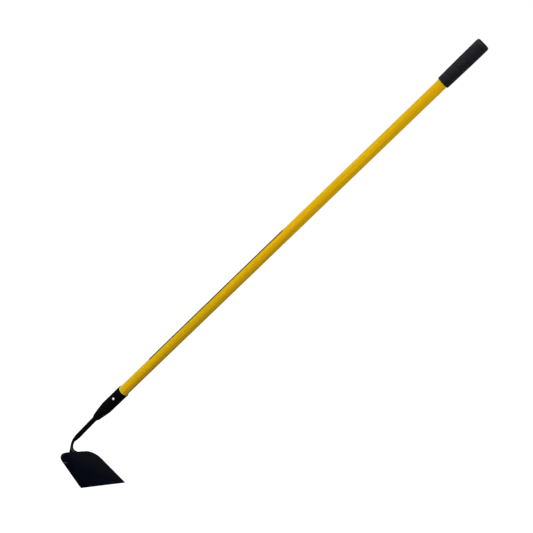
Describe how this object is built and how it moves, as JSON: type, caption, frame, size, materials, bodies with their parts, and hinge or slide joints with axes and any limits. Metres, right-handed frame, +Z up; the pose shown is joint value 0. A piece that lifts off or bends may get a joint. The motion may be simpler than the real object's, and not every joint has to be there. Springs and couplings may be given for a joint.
{
  "type": "garden hoe",
  "caption": "Long-handled garden hoe: flat steel blade on a gooseneck, riveted steel ferrule, yellow fibreglass handle and cushion grip.",
  "frame": {"origin": "On the axis of the handle, 150 mm below the lower rim of the cushion grip, where a rack's spring clip holds the handle.", "axes": "+Z runs up the handle to the grip, +Y from the handle towards the cutting edge, +X across the blade."},
  "size_m": [0.161, 0.1733, 1.4453],
  "materials": {
    "black_steel": "satin black enamel",
    "weld_steel": "enamelled weld",
    "bright_steel": "bright",
    "core_wood": "bare",
    "fibreglass": "yellow fibreglass, semi-gloss",
    "label_film": "plain dark film",
    "black_plastic": "moulded",
    "cushion": "matt foam rubber"
  },
  "bodies": {
    "root": {"blade": "black_steel", "gooseneck": "black_steel", "weld_bead": "weld_steel", "ferrule": "black_steel", "rivet": "bright_steel", "core_dowel": "core_wood", "handle_tube": "fibreglass", "label_strip": "label_film", "end_plug": "black_plastic", "cushion_grip": "cushion"}
  },
  "joints": []
}
